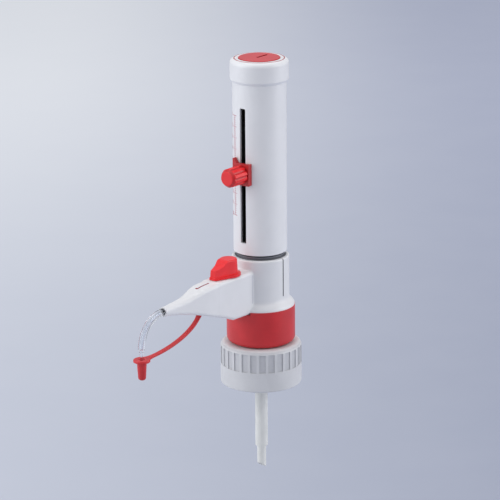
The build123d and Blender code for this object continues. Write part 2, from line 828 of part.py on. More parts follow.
def make_recirculation_tube():
    top = block_base + 2.9
    path = FilletPolyline(
        (-return_tube_x, 0, top),
        (-return_tube_x, 0, -return_tube_end),
        (-return_tube_x - return_hook_out, 0, -return_tube_end - return_hook_drop),
        radius=return_bend_r,
    )
    section = Plane(origin=(-return_tube_x, 0, top), z_dir=(0, 0, -1)) * (
        Circle(return_tube_r) - Circle(line_bore_r)
    )
    return sweep(section, path)


def main():
    os.makedirs("parts", exist_ok=True)
    front_shell, rear_shell = make_shells()
    write("mount_spigot", make_mount_spigot())
    write("mouth_gasket", make_mouth_gasket())
    write("screw_nut", make_screw_nut())
    write("base_collar", make_base_collar())
    write("front_shell", front_shell)
    write("rear_shell", rear_shell)
    write("valve_block", make_valve_block())
    write("filling_valve_housing", make_filling_valve_housing())
    write("filling_valve_ball", make_filling_valve_ball())
    write("discharge_valve_seat", make_discharge_valve_seat())
    write("discharge_valve_ball", make_discharge_valve_ball())
    write("glass_cylinder", make_glass_cylinder())
    write("cylinder_sleeve", make_cylinder_sleeve())
    write("locking_ring", make_locking_ring())
    write("piston_head", make_piston_head())
    write("piston_rod", make_piston_rod())
    write("rod_carrier", make_rod_carrier())
    write("calibration_screw", make_calibration_screw())
    write("housing", make_housing())
    write("rack_tube", make_rack_tube())
    write("guide_ring", make_guide_ring())
    write("top_cap", make_top_cap())
    write("calibration_cover", make_calibration_cover())
    write("pointer_plate", make_pointer_plate())
    write("clamp_block", make_clamp_block())
    write("thumb_knob", make_thumb_knob())
    write("clamp_screw", make_clamp_screw())
    write("recirculation_knob", make_recirculation_knob())
    write("recirculation_spindle", make_recirculation_spindle())
    write("discharge_tube", make_discharge_tube())
    write("discharge_tip", make_discharge_tip())
    write("closure_cap", make_closure_cap())
    write("closure_strap", make_closure_strap())
    write("strap_plug", make_strap_plug())
    write("intake_tube_upper", make_intake_tube_upper())
    write("intake_tube_lower", make_intake_tube_lower())
    write("recirculation_tube", make_recirculation_tube())


main()
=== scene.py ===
# %% [markdown]
# # Dressing a bottle-top dispenser
#
# A bottle-top dispenser draws acid or solvent out of a lab bottle and pushes a measured volume
# out of a nozzle. Nearly all of it is injection moulded: a white housing that is pulled up and
# pushed down, white shells round the valve block, and red parts wherever the hand has something
# to set. The solid model gives every part its place and size. This script gives the parts their
# finishes, makes the soft strap of the closure cap and the clear discharge tube, prints the volume
# scale on the housing, and sets a plain studio round the object.
#
# The solids come in as a fixed frame in metres, with Z up and the discharge arm along -X.

# %% Load the solids
from math import cos, pi, radians, sin
import bmesh
import bpy
from mathutils import Matrix, Vector
from mathutils.geometry import interpolate_bezier


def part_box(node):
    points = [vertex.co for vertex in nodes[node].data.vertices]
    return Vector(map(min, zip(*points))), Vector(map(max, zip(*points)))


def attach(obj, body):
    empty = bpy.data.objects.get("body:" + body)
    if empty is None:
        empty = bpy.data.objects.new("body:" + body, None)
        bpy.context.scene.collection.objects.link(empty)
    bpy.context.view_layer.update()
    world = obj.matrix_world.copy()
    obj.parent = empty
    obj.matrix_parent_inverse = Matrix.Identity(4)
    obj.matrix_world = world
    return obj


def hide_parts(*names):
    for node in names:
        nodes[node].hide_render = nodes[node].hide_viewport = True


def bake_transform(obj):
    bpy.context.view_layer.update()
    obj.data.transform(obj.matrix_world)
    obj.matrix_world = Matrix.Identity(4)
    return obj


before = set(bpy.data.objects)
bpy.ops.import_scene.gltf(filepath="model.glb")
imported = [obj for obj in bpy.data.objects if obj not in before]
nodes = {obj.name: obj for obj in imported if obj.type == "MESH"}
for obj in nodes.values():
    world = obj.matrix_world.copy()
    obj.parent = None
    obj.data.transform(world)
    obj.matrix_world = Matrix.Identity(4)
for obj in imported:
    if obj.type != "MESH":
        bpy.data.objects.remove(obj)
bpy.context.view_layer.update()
MM = 0.001

# %% [markdown]
# ## Camera
#
# The view looks down on the dispenser from the arm's side. Its angle of view is narrow, as from a
# phone held well back or zoomed in, so uprights stay upright. The lens follows from the angle of
# view, and the camera's place from its distance, height and bearing. A camera looks along its own
# -Z axis, so its matrix is built from the direction that points back at the viewer.

# %% Place the camera
BEARING = radians(-51.3)       # 0 looks along +Y
PITCH = radians(16.65)
ROLL = radians(-0.37)
STAND_OFF = 1.664              # metres from the housing's axis, level
EYE_HEIGHT = 0.566             # above the bottle's rim
LENS = 190.08                  # on a 36 mm wide sensor
AXIS_PIXEL = 260.4             # column of the picture in which the housing's axis lies
PICTURE = 500                  # pixels across

back = Vector((sin(BEARING) * cos(PITCH), -cos(BEARING) * cos(PITCH), sin(PITCH)))
right = Vector((cos(BEARING), sin(BEARING), 0))
up = back.cross(right)
turn = Matrix((right, up, back)).transposed().to_4x4() @ Matrix.Rotation(ROLL, 4, "Z")
eye = Vector((back.x, back.y, 0)).normalized() * STAND_OFF + Vector((0, 0, EYE_HEIGHT))

lens = bpy.data.cameras.new("bench_camera")
lens.sensor_fit = "HORIZONTAL"
lens.sensor_width = 36
lens.lens = LENS
lens.shift_x = 0.5 - AXIS_PIXEL / PICTURE
camera = bpy.data.objects.new("bench_camera", lens)
camera.matrix_world = Matrix.Translation(eye) @ turn
bpy.context.scene.collection.objects.link(camera)
bpy.context.scene.camera = camera
print("camera at", [round(c, 3) for c in eye])

# %% [markdown]
# ## A way to write shader maths
#
# A material is a graph of nodes. Written node by node, even a small sum takes a page. Here one
# class holds an output socket, and arithmetic on it adds the Math nodes, so a mask can be written
# as an expression. Any other node comes from the method `node`, which takes the values or links of
# its sockets as a table and its settings by name. Colours never go through Math, which would turn
# them grey: `blend` mixes two colours by a mask.

# %% A socket that can be calculated with
class Wire:
    """One output socket in a material, with arithmetic on its value."""

    def __init__(self, tree, socket=None):
        self.tree = tree
        self.socket = socket

    def node(self, kind, sockets=None, out=0, **settings):
        made = self.tree.nodes.new(kind)
        for name, value in settings.items():
            setattr(made, name, value)
        for name, value in (sockets or {}).items():
            if isinstance(value, Wire):
                self.tree.links.new(value.socket, made.inputs[name])
            else:
                made.inputs[name].default_value = value
        return Wire(self.tree, made.outputs[out])

    def maths(self, operation, a, b=0.0):
        """Any Math node. An operation on one value, such as SINE, takes no notice of b."""
        return self.node("ShaderNodeMath", {0: a, 1: b}, operation=operation)

    def __add__(self, other):
        return self.maths("ADD", self, other)

    def __radd__(self, other):
        return self.maths("ADD", other, self)

    def __sub__(self, other):
        return self.maths("SUBTRACT", self, other)

    def __rsub__(self, other):
        return self.maths("SUBTRACT", other, self)

    def __mul__(self, other):
        return self.maths("MULTIPLY", self, other)

    def __rmul__(self, other):
        return self.maths("MULTIPLY", other, self)

    def step(self, low, high):
        """0 below low, 1 above high, and smooth between them."""
        sockets = {"Value": self, "From Min": low, "From Max": high}
        return self.node("ShaderNodeMapRange", sockets, interpolation_type="SMOOTHSTEP")

    def blend(self, a, b):
        """Colour a where the value is 0 and colour b where it is 1."""
        return self.node("ShaderNodeMix", {0: self, 6: a, 7: b}, out=2, data_type="RGBA")


def rgb(r, g, b):
    """A colour from the 0 to 255 values in which a picture gives it."""
    linear = [((c / 255 + 0.055) / 1.055) ** 2.4 if c > 10 else c / 255 / 12.92 for c in (r, g, b)]
    return (*linear, 1.0)


def times(colour, factor):
    """The colour made lighter or darker, never past full white."""
    return (*[min(1.0, c * factor) for c in colour[:3]], 1.0)


print("grey 200 is", round(rgb(200, 200, 200)[0], 3))

# %% [markdown]
# ## Patterns that every moulding shares
#
# A moulded surface is never perfectly even. The tool leaves a fine grain of a fifth of a
# millimetre, the wall sinks a few hundredths over thick places, the pigment clouds a little where
# the melt flowed, and handling leaves short scuffs that are shinier or duller than the rest. Each
# of these is a noise at its own size. Sizes are given in millimetres and turned into the scale
# that Blender's noise wants, with Object coordinates in metres.

# %% Noise by size
def place(tree):
    """Object coordinates, in metres."""
    return Wire(tree).node("ShaderNodeTexCoord", out=3)


def noise(where, size_mm, detail=2.0, stretch=(1, 1, 1), shift=0.0):
    """Noise with lumps of one size. A stretch of 0.1 along an axis draws the lumps out tenfold."""
    settled = where.node(
        "ShaderNodeMapping", {"Vector": where, "Location": (shift, shift, shift), "Scale": stretch}
    )
    sockets = {"Vector": settled, "Scale": 1 / (size_mm * MM), "Detail": detail}
    return where.node("ShaderNodeTexNoise", sockets, noise_dimensions="3D")


def bump(height, depth_mm, under=None):
    """Turns a height of 0 to 1 into relief of that depth."""
    sockets = {"Height": height, "Distance": depth_mm * MM, "Strength": 1.0}
    if under:
        sockets["Normal"] = under
    return height.node("ShaderNodeBump", sockets)


def axis_distance(where, x=None, y=None, z=None):
    """Distance in metres from a line through the two values given, parallel to the axis left out."""
    centre = [v if v is not None else 0.0 for v in (x, y, z)]
    keep = [0.0 if v is None else 1.0 for v in (x, y, z)]
    offset = where.node("ShaderNodeVectorMath", {0: where, 1: centre}, operation="SUBTRACT")
    flat = where.node("ShaderNodeVectorMath", {0: offset, 1: keep}, operation="MULTIPLY")
    return where.node("ShaderNodeVectorMath", {0: flat}, out=1, operation="LENGTH")


def axis_value(where, letter):
    """The X, Y or Z of the place, in metres."""
    return where.node("ShaderNodeSeparateXYZ", {"Vector": where}, out="XYZ".index(letter))


print("grain of 0.2 mm is noise scale", 1 / (0.2 * MM))

# %% [markdown]
# ## The moulded finish
#
# One recipe serves the whites, the reds, the grey and the black: colour, gloss and relief differ,
# and so does the way the scuffs run. On the housing they run up and down, the way it slides in the
# hand, and on the nut round the axis. A piece that carries more than that, such as painted shade in
# a groove or a painted line, hands the recipe a function that makes the mask and the colour to lay on it.

# %% The recipe for moulded plastic
def new_material(name):
    """A new material and its main shader."""
    material = bpy.data.materials.new(name)
    material.use_nodes = True
    return material, material.node_tree.nodes["Principled BSDF"]


def link(tree, shader, socket, value):
    tree.links.new(value.socket, shader.inputs[socket])


CLOUD_MM = 14                  # pigment clouds
SPECK_MM = 0.9                 # fine unevenness of tone and gloss
SCUFF_MM = 1.1                 # width of a scuff
SCUFF_PATCH_MM = 9             # handled areas, which hold the scuffs
SCUFF_DEPTH_MM = 0.004
SINK_MM = 22                   # sink marks over thick places
SINK_DEPTH_MM = 0.03
PLASTIC_IOR = 1.49


def moulded(
    name, colour, gloss=0.36, cloud=0.05, grain_mm=0.22, grain_depth_mm=0.006, scuff=0.10,
    scuff_run=(1, 1, 0.06), paint=(), shift=0.0,
):
    """Moulded plastic. paint holds pairs of a mask's function and a colour, laid over the base colour."""
    material, shader = new_material(name)
    tree = material.node_tree
    where = place(tree)
    clouds = noise(where, CLOUD_MM, 3, shift=shift)
    fine = noise(where, SPECK_MM, 2, shift=shift + 0.3)
    pigment = clouds.step(0.35, 0.65) * 0.8 + fine * 0.2
    tone = pigment.blend(times(colour, 1 - cloud), times(colour, 1 + cloud * 0.4))
    for mask, ink in paint:
        tone = mask(where).blend(tone, ink)
    marks = noise(where, SCUFF_MM, 4, scuff_run, shift=shift + 0.7).step(0.56, 0.74)
    patches = noise(where, SCUFF_PATCH_MM, 2, shift=shift + 0.5).step(0.4, 0.66)
    rough = gloss + (fine - 0.5) * 0.05 + marks * patches * scuff
    grain = noise(where, grain_mm, 1, shift=shift)
    sink = noise(where, SINK_MM, 1, shift=shift + 0.2)
    relief = bump(sink, SINK_DEPTH_MM)
    relief = bump(marks * patches, SCUFF_DEPTH_MM, relief)
    relief = bump(grain, grain_depth_mm, relief)
    link(tree, shader, "Base Color", tone)
    link(tree, shader, "Roughness", rough)
    link(tree, shader, "Normal", relief)
    shader.inputs["IOR"].default_value = PLASTIC_IOR
    return material


WHITE = rgb(226, 226, 228)
RED = rgb(200, 38, 43)
BRIGHT_RED = rgb(238, 25, 32)
print("white", [round(c, 2) for c in WHITE[:3]], "red", [round(c, 2) for c in RED[:3]])

# %% [markdown]
# ## White mouldings
#
# The housing is the part that the hand holds. It is glossy enough to show soft upright bands of
# light, with faint rub marks along its length. The shells round the valve block are a little
# duller. They meet in an open seam, whose walls and lips are darkened with painted shade to make it
# read from afar, and the arm carries a short mark for the knob's setting. The nut is duller again:
# it is gripped with gloves. Painted shade darkens the floors of its grooves, by a mask on the
# distance from the axis. The cap has a fine red line in its top groove, painted the same way, by
# distance and height.

# %% Make the white mouldings
NUT_R = 0.0270
GRIP_FLOOR = 0.0263            # radius of the nut's grooves
CAP_LINE_R = 0.0163
CAP_LINE_HALF = 0.00035
CAP_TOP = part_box("top_cap")[1].z
SEAM_HALF = 0.00045
SEAM_LOW, SEAM_HIGH = 0.0402, 0.0655
PANEL_LINE_X = (-0.0187, -0.0183)
PANEL_LINE_Z = (0.0375, 0.0570)
ARM_SIDE = (0.0074, 0.0083)    # distance of the arm's side from its middle
MARK_X = (-0.0645, -0.0535)
MARK_HALF = 0.0006
MARK_HOOK_X = (-0.0655, -0.0640)
MARK_HOOK_Y = (-0.0004, 0.0016)
ARM_TOP = 0.0530               # above this height the arm's top lies, and its side below


def band(value, low, high, soft=0.0001):
    """1 between two values and 0 outside them, with soft edges."""
    return value.step(low - soft, low + soft) * (1 - value.step(high - soft, high + soft))


def nut_dust(where):
    """Painted shade on the floors of the nut's grooves, uneven."""
    r = axis_distance(where, x=0, y=0)
    hollow = 1 - r.step(GRIP_FLOOR + 0.0001, NUT_R - 0.0002)
    outside = r.step(GRIP_FLOOR - 0.0006, GRIP_FLOOR - 0.0003)
    return hollow * outside * (0.10 + noise(where, 1.6, 3) * 0.25)


def cap_line(where):
    """The coloured line in the top groove of the cap."""
    ring = band(axis_distance(where, x=0, y=0), CAP_LINE_R - CAP_LINE_HALF, CAP_LINE_R + CAP_LINE_HALF)
    return ring * axis_value(where, "Z").step(CAP_TOP - 0.0012, CAP_TOP - 0.0010)


def seam_shadow(where):
    """The walls and the lips of the open seam between the two shells."""
    open_part = band(axis_value(where, "Z"), SEAM_LOW, SEAM_HIGH, 0.0002)
    return band(axis_value(where, "X"), -SEAM_HALF, SEAM_HALF, 0.00006) * open_part


def panel_line(where):
    """A witness line on the arm's side, just before it runs into the cylinder."""
    y = axis_value(where, "Y")
    width = band(axis_value(where, "X"), *PANEL_LINE_X)
    height = band(axis_value(where, "Z"), *PANEL_LINE_Z, 0.0003)
    return width * height * band(y.maths("ABSOLUTE", y), *ARM_SIDE)


def arm_mark(where):
    """A short red line on top of the arm, in front of the knob, with a hook at its outer end."""
    x = axis_value(where, "X")
    y = axis_value(where, "Y")
    line = band(x, *MARK_X) * band(y, -MARK_HALF, MARK_HALF)
    hook = band(x, *MARK_HOOK_X) * band(y, *MARK_HOOK_Y)
    return line.maths("MAXIMUM", line, hook) * axis_value(where, "Z").step(ARM_TOP, ARM_TOP + 0.0002)


white_housing = moulded(
    "white_housing_moulding", WHITE, gloss=0.30, cloud=0.02, grain_depth_mm=0.004, scuff=0.14,
)
shell_lines = (
    (seam_shadow, rgb(50, 54, 60)),
    (panel_line, rgb(176, 174, 186)),
    (arm_mark, rgb(140, 42, 56)),
)
white_shell = moulded(
    "white_shell_moulding", times(WHITE, 0.97), gloss=0.36, cloud=0.02, scuff_run=(0.08, 1, 1),
    paint=shell_lines, shift=1.0,
)
# Painted shade darkens the floors of the nut's grooves.
white_nut = moulded(
    "white_nut_moulding", times(WHITE, 0.82), gloss=0.44, cloud=0.04, grain_mm=0.3, grain_depth_mm=0.012,
    scuff_run=(0.4, 0.4, 1), paint=((nut_dust, rgb(150, 152, 160)),), shift=2.0,
)
white_cap = moulded(
    "white_cap_moulding", WHITE, gloss=0.32, cloud=0.02, scuff_run=(0.4, 0.4, 1),
    paint=((cap_line, rgb(196, 80, 92)),), shift=3.0,
)
print("4 white mouldings")

# %% [markdown]
# ## Red mouldings
#
# Nearly everything that the user turns, slides or lifts is red: the recirculation knob, the pointer
# with its thumb knob, the disc over the adjuster and the closure cap. So is the collar over the nut.
# In the flutes of the thumb knob painted shade deepens the red, by a mask on the distance from the
# knob's own axis, and painted shade darkens the slit in the disc down its walls, by height.

# %% Make the red mouldings
DISC_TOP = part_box("calibration_cover")[1].z
POINTER_Z = 0.1240             # height of the thumb knob's axis
FLUTE_FLOOR = 0.00565          # radius of the flutes' floors
KNOB_R = 0.0062
KNOB_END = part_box("thumb_knob")[0].x + 0.0004


def slit_shade(where):
    """The floor and walls of the slit in the disc."""
    return 1 - axis_value(where, "Z").step(DISC_TOP - 0.0006, DISC_TOP - 0.00015)


def flute_shade(where):
    """The flutes of the thumb knob, at a little over half strength."""
    return (1 - axis_distance(where, y=0, z=POINTER_Z).step(FLUTE_FLOOR, KNOB_R - 0.0001)) * 0.55


def knob_end(where):
    """Painted shade on the flat end of the thumb knob, a little darker red than the rest."""
    return 1 - axis_value(where, "X").step(KNOB_END - 0.0002, KNOB_END + 0.0001)


red_collar = moulded(
    "red_collar_moulding", RED, gloss=0.42, cloud=0.10, scuff_run=(0.3, 0.3, 1), shift=4.0,
)
red_knob = moulded(
    "red_knob_moulding", BRIGHT_RED, gloss=0.34, cloud=0.08, grain_depth_mm=0.004, shift=5.0,
)
# Painted shade on the thumb knob: a deeper red in its flutes and on its flat end.
red_thumb = moulded(
    "red_thumb_knob_moulding", BRIGHT_RED, gloss=0.38, cloud=0.06, scuff_run=(0.1, 1, 1),
    paint=((flute_shade, times(RED, 0.55)), (knob_end, rgb(224, 30, 36))), shift=6.0,
)
red_pointer = moulded("red_pointer_moulding", times(RED, 0.8), gloss=0.38, cloud=0.08, shift=7.0)
red_disc = moulded(
    "red_disc_moulding", RED, gloss=0.34, cloud=0.06, scuff_run=(1, 0.2, 1),
    paint=((slit_shade, times(RED, 0.12)),), shift=8.0,
)
red_closure = moulded("red_closure_moulding", RED, gloss=0.40, cloud=0.10, shift=9.0)
red_strap = moulded(
    "red_strap_soft_plastic", times(RED, 0.97), gloss=0.48, cloud=0.12, grain_mm=0.4,
    scuff_run=(0.1, 1, 1), shift=10.0,
)
print("7 red mouldings")

# %% [markdown]
# ## Dark, inner and sealing plastics
#
# The toothed tube that shows through the housing's slot is black and dull, so the slot reads as a
# deep dark line. The locking ring is dark grey between two edges in shadow. The valve block, the
# spigot and the valve housings are turned from white fluoropolymer: waxy, with fine turning marks,
# and never seen in daylight once the dispenser is on a bottle. The gasket and the piston's head are
# the same kind of white, softer and smoother.

# %% Make the dark and inner plastics
RING_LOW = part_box("locking_ring")[0].z
RING_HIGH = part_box("locking_ring")[1].z
RING_EDGE = 0.0008


def ring_edges(where):
    """The ring's upper and lower edges lie in deep shadow between the housing and the shells."""
    return 1 - band(axis_value(where, "Z"), RING_LOW + RING_EDGE, RING_HIGH - RING_EDGE, 0.0002)


black_rack = moulded(
    "black_rack_moulding", rgb(34, 32, 34), gloss=0.48, cloud=0.15, grain_depth_mm=0.008, shift=11.0,
)
grey_ring = moulded(
    "dark_grey_ring_moulding", rgb(112, 114, 120), gloss=0.42, cloud=0.08, scuff_run=(0.3, 0.3, 1),
    paint=((ring_edges, rgb(26, 26, 30)),), shift=12.0,
)
dark_part = moulded("dark_inner_moulding", rgb(84, 87, 92), gloss=0.45, cloud=0.08, shift=13.0)
grey_part = moulded("grey_inner_moulding", rgb(176, 178, 182), gloss=0.42, cloud=0.05, shift=14.0)


FLUOROPOLYMER_IOR = 1.36


def turned_plastic(name, colour, gloss, pitch_mm, depth_mm):
    """Fluoropolymer off a lathe: rings round the axis, one for each turn of the tool."""
    material, shader = new_material(name)
    tree = material.node_tree
    where = place(tree)
    reach = axis_distance(where, x=0, y=0) + axis_value(where, "Z") + noise(where, 5, 2) * (0.1 * MM)
    turns = reach * (2 * pi / (pitch_mm * MM))
    rings = turns.maths("SINE", turns)
    haze = noise(where, 6, 3)
    link(tree, shader, "Base Color", haze.step(0.3, 0.7).blend(times(colour, 0.94), colour))
    link(tree, shader, "Roughness", gloss + haze * 0.08)
    link(tree, shader, "Normal", bump(rings * 0.5 + 0.5, depth_mm))
    shader.inputs["IOR"].default_value = FLUOROPOLYMER_IOR
    return material


white_inner = turned_plastic("white_fluoropolymer", rgb(226, 226, 222), 0.42, 0.25, 0.004)
white_seal = turned_plastic("white_seal_fluoropolymer", rgb(232, 232, 230), 0.36, 0.4, 0.002)
print("6 dark, inner and sealing plastics")

# %% [markdown]
# ## Glass, clear tube, ceramic and steel
#
# The discharge tube is clear fluoropolymer, which bends light less than glass does: the room shows
# through it, and its edges and its bore stand out as fine lines. The glass cylinder under the
# housing bends the light more. The valve balls are polished ceramic, and the clamp screw is turned
# steel, with rings round its own axis.

# %% Make the clear and hard materials
def clear(name, colour, gloss, ior, ripple_mm, ripple_depth_mm, run):
    """Clear tubing or glass, a little uneven from drawing. run stretches the ripple."""
    material, shader = new_material(name)
    tree = material.node_tree
    where = place(tree)
    drawn = noise(where, ripple_mm, 2, run)
    haze = noise(where, 4, 3)
    link(tree, shader, "Base Color", haze.step(0.3, 0.7).blend(times(colour, 0.97), colour))
    link(tree, shader, "Roughness", gloss + haze * 0.03)
    link(tree, shader, "Normal", bump(drawn, ripple_depth_mm))
    shader.inputs["IOR"].default_value = ior
    shader.inputs["Transmission Weight"].default_value = 1.0
    return material


clear_tube = clear("clear_fluoropolymer_tube", rgb(244, 246, 249), 0.0, 1.30, 8, 0.002, (1, 1, 1))
clear_glass = clear("clear_borosilicate", rgb(240, 248, 247), 0.02, 1.47, 6, 0.004, (1, 1, 0.2))

ceramic, shader = new_material("polished_ceramic")
where = place(ceramic.node_tree)
glaze = noise(where, 0.8, 3).step(0.4, 0.7).blend(rgb(238, 235, 226), rgb(228, 224, 212))
link(ceramic.node_tree, shader, "Base Color", glaze)
link(ceramic.node_tree, shader, "Roughness", 0.12 + noise(where, 0.5, 2) * 0.08)
shader.inputs["IOR"].default_value = 1.7

steel, shader = new_material("turned_steel")
where = place(steel.node_tree)
turns = axis_value(where, "X") * (2 * pi / (0.25 * MM))
metal = noise(where, 1.5, 3).blend(rgb(176, 178, 180), rgb(200, 200, 198))
link(steel.node_tree, shader, "Base Color", metal)
link(steel.node_tree, shader, "Roughness", 0.28 + noise(where, 0.7, 2) * 0.12)
link(steel.node_tree, shader, "Normal", bump(turns.maths("SINE", turns) * 0.5 + 0.5, 0.006))
shader.inputs["Metallic"].default_value = 1.0
print("4 clear and hard materials")

# %% [markdown]
# ## Finish for every solid
#
# A solid keeps its shape and takes its material through its slots. The table lists each solid
# once, so that a piece without a finish stops the script.

# %% Give each solid its finish
finishes = {
    white_housing: ("housing",),
    white_shell: ("front_shell", "rear_shell"),
    white_nut: ("screw_nut",),
    white_cap: ("top_cap",),
    red_collar: ("base_collar",),
    red_knob: ("recirculation_knob",),
    red_thumb: ("thumb_knob",),
    red_pointer: ("pointer_plate",),
    red_disc: ("calibration_cover",),
    red_closure: ("closure_cap", "strap_plug"),
    red_strap: ("closure_strap",),
    black_rack: ("rack_tube",),
    grey_ring: ("locking_ring",),
    dark_part: ("clamp_block", "guide_ring", "cylinder_sleeve"),
    grey_part: ("rod_carrier", "calibration_screw"),
    white_inner: (
        "mount_spigot", "valve_block", "filling_valve_housing", "discharge_valve_seat", "piston_rod",
        "recirculation_spindle", "intake_tube_upper", "intake_tube_lower", "recirculation_tube",
    ),
    white_seal: ("mouth_gasket", "piston_head"),
    clear_glass: ("glass_cylinder",),
    clear_tube: ("discharge_tube", "discharge_tip"),
    ceramic: ("filling_valve_ball", "discharge_valve_ball"),
    steel: ("clamp_screw",),
}
bare = set(nodes)
for material, names in finishes.items():
    for name in names:
        nodes[name].data.materials.clear()
        nodes[name].data.materials.append(material)
        bare.discard(name)
if bare:
    raise SystemExit(f"no finish for {sorted(bare)}")
print(f"{len(nodes)} solids have a finish")

# %% [markdown]
# ## The closure's strap
#
# A soft red strap keeps the closure cap with the dispenser when it is pulled off the nozzle. It is
# moulded with the cap, leaves the cap's rim level, sags a little, and turns up into a plug in the
# arm's underside. A curve with a bevel could draw it, but its ends would have to be capped and its
# section could not change. So one small face with rounded corners is extruded along a Bezier
# curve, station by station, and each station's matrix gives its place, direction and width. The
# face left behind at each station is deleted, so that no wall stays inside.

# %% Extrude a section along a path
def finish_mesh(name, bm, material, angle=35):
    """Makes the object, with its faces outward and its edges smooth below an angle."""
    bmesh.ops.remove_doubles(bm, verts=bm.verts, dist=1e-7)
    bmesh.ops.recalc_face_normals(bm, faces=bm.faces)
    open_edges = sum(not edge.is_manifold for edge in bm.edges)
    mesh = bpy.data.meshes.new(name)
    bm.to_mesh(mesh)
    bm.free()
    mesh.shade_smooth()
    mesh.set_sharp_from_angle(angle=radians(angle))
    mesh.materials.append(material)
    piece = bpy.data.objects.new(name, mesh)
    bpy.context.scene.collection.objects.link(piece)
    print(f"{name}: {len(mesh.polygons)} faces, {open_edges} open edges")
    return piece


def station(point, along, wide, thick):
    """A matrix that puts a unit section on the path, in the XZ plane of the arm."""
    along = along.normalized()
    side = Vector((0, 1, 0))
    depth = along.cross(side)
    turned = Matrix((side * wide, depth * thick, along)).transposed().to_4x4()
    return Matrix.Translation(point) @ turned


def extruded_along(bm, points, widths, thickness):
    """Carries the flat section in bm from point to point."""
    inner_aims = [b - a for a, b in zip(points, points[2:])]
    aims = [points[1] - points[0], *inner_aims, points[-1] - points[-2]]
    frames = [station(p, a, w, thickness) for p, a, w in zip(points, aims, widths)]
    bmesh.ops.transform(bm, matrix=frames[0], verts=bm.verts)
    front = bm.faces[:]
    for before, after in zip(frames, frames[1:]):
        grown = bmesh.ops.extrude_face_region(bm, geom=front, use_keep_orig=True)
        if before is not frames[0]:
            bmesh.ops.delete(bm, geom=front, context="FACES")
        front = [f for f in grown["geom"] if isinstance(f, bmesh.types.BMFace)]
        moved = [v for v in grown["geom"] if isinstance(v, bmesh.types.BMVert)]
        bmesh.ops.transform(bm, matrix=after @ before.inverted(), verts=moved)
    return bm


def rounded_square(corner):
    """A flat square of side 1 with rounded corners."""
    bm = bmesh.new()
    bmesh.ops.create_grid(bm, x_segments=1, y_segments=1, size=0.5)
    bmesh.ops.bevel(
        bm, geom=bm.verts[:], offset=corner, affect="VERTICES", segments=4, profile=0.5, material=-1,
    )
    return bm


def flat_ring(outer, inner, count=64):
    """A flat ring between two circles."""
    bm = bmesh.new()
    for r in (outer, inner):
        bmesh.ops.create_circle(bm, cap_ends=False, segments=count, radius=r)
    bmesh.ops.bridge_loops(bm, edges=bm.edges)
    return bm


STRAP_RIM = Vector((-0.1158, 0, 0.02435))
STRAP_SAG = Vector((-0.0925, 0, 0.0241))
STRAP_RISE = Vector((-0.0698, 0, 0.0303))
STRAP_END = Vector((-0.0636, 0, 0.0398))
STRAP_WIDE = 3.2 * MM
STRAP_THICK = 1.5 * MM
STRAP_STATIONS = 41
STRAP_CORNER = 0.22            # share of the section's side

line = interpolate_bezier(STRAP_RIM, STRAP_SAG, STRAP_RISE, STRAP_END, STRAP_STATIONS)
# Broad where it leaves the cap's rim, and a little broader again at the plug
swell = [
    1 + 0.9 * max(0, 1 - i / 4) ** 2 + 0.25 * max(0, (i - STRAP_STATIONS + 5) / 4) ** 2
    for i in range(STRAP_STATIONS)
]
widths = [STRAP_WIDE * s for s in swell]
strap_mesh = extruded_along(rounded_square(STRAP_CORNER), line, widths, STRAP_THICK)
strap = finish_mesh("closure_strap_band", strap_mesh, red_strap)
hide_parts("closure_strap")
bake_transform(strap)

# %% [markdown]
# ## The clear discharge tube
#
# The tube is bent through a quarter turn. Light that passes its wall shows every facet, so it is
# drawn again with the same helper: a flat ring, carried along a straight and round the bend in
# steps of two degrees. Its outside stays smooth, and its bore stands in it as two clean lines.

# %% Carry a ring round the bend
STRAIGHT_X = (0.0405, 0.05, 0.06, 0.07, 0.08, 0.09, 0.096, 0.099)
BEND_X = 0.1004
BEND_R = 0.0196
LINE_Z = 0.0510
TUBE_R = 2.25 * MM
TUBE_BORE_R = 0.85 * MM


def on_bend(degrees):
    turned = radians(degrees)
    return Vector((-(BEND_X + BEND_R * sin(turned)), 0, LINE_Z - BEND_R * (1 - cos(turned))))


course = [Vector((-x, 0, LINE_Z)) for x in STRAIGHT_X] + [on_bend(degrees) for degrees in range(0, 91, 2)]
tube_mesh = extruded_along(flat_ring(TUBE_R, TUBE_BORE_R), course, [1] * len(course), 1)
tube = finish_mesh("clear_discharge_tube", tube_mesh, clear_tube)
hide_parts("discharge_tube")
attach(tube, "base")

# %% [markdown]
# ## The volume scale
#
# The volume is read on a scale printed beside the slot, where the pointer's horn runs: a fine
# upright line, a tick for each fifth of a millilitre, longer ones for each whole, and plain
# numbers. Printed ink is a few hundredths of a millimetre thick. Here it is laid out flat, as it
# would be on the printing screen, and then wrapped round the housing. Being real geometry it keeps
# its crisp edge in any close view, where a painted mask would blur.

# %% Lay out the scale flat and wrap it round the housing
HOUSING_R = 17.7 * MM
INK = 0.03 * MM
ZERO_Z = 0.1688                # height at which the pointer would set nothing
PER_ML = 7.4 * MM
LINE_ANGLE = 26.0              # degrees from the slot's middle, towards +Y
LINE_HALF = 0.35               # half its width, in degrees
TICK_IN = 19.0                 # a whole millilitre's tick runs from here
TICK_OUT = 36.0                # to here
FIFTH_IN = 22.0
FIFTH_OUT = 31.0
TICK_THICK = 0.34 * MM
FIFTH_THICK = 0.24 * MM
NUMBER_ANGLE = 42.5
NUMBER_HEIGHT = 2.6 * MM
FONT_SHARE = 1.38              # a font's size over the height of its figures


def arc(degrees):
    """Length along the housing's surface."""
    return radians(degrees) * HOUSING_R


def bar(bm, start, end, z, height):
    """A rectangle in the flat layout, from one angle to another, cut often enough to bend."""
    cuts = max(1, round((end - start) / 3))
    made = bmesh.ops.create_grid(bm, x_segments=cuts, y_segments=1, size=0.5)["verts"]
    size = Matrix.Diagonal((arc(end - start), height, 1, 1))
    middle = Matrix.Translation((arc((start + end) / 2), z, 0))
    bmesh.ops.transform(bm, matrix=middle @ size, verts=made)


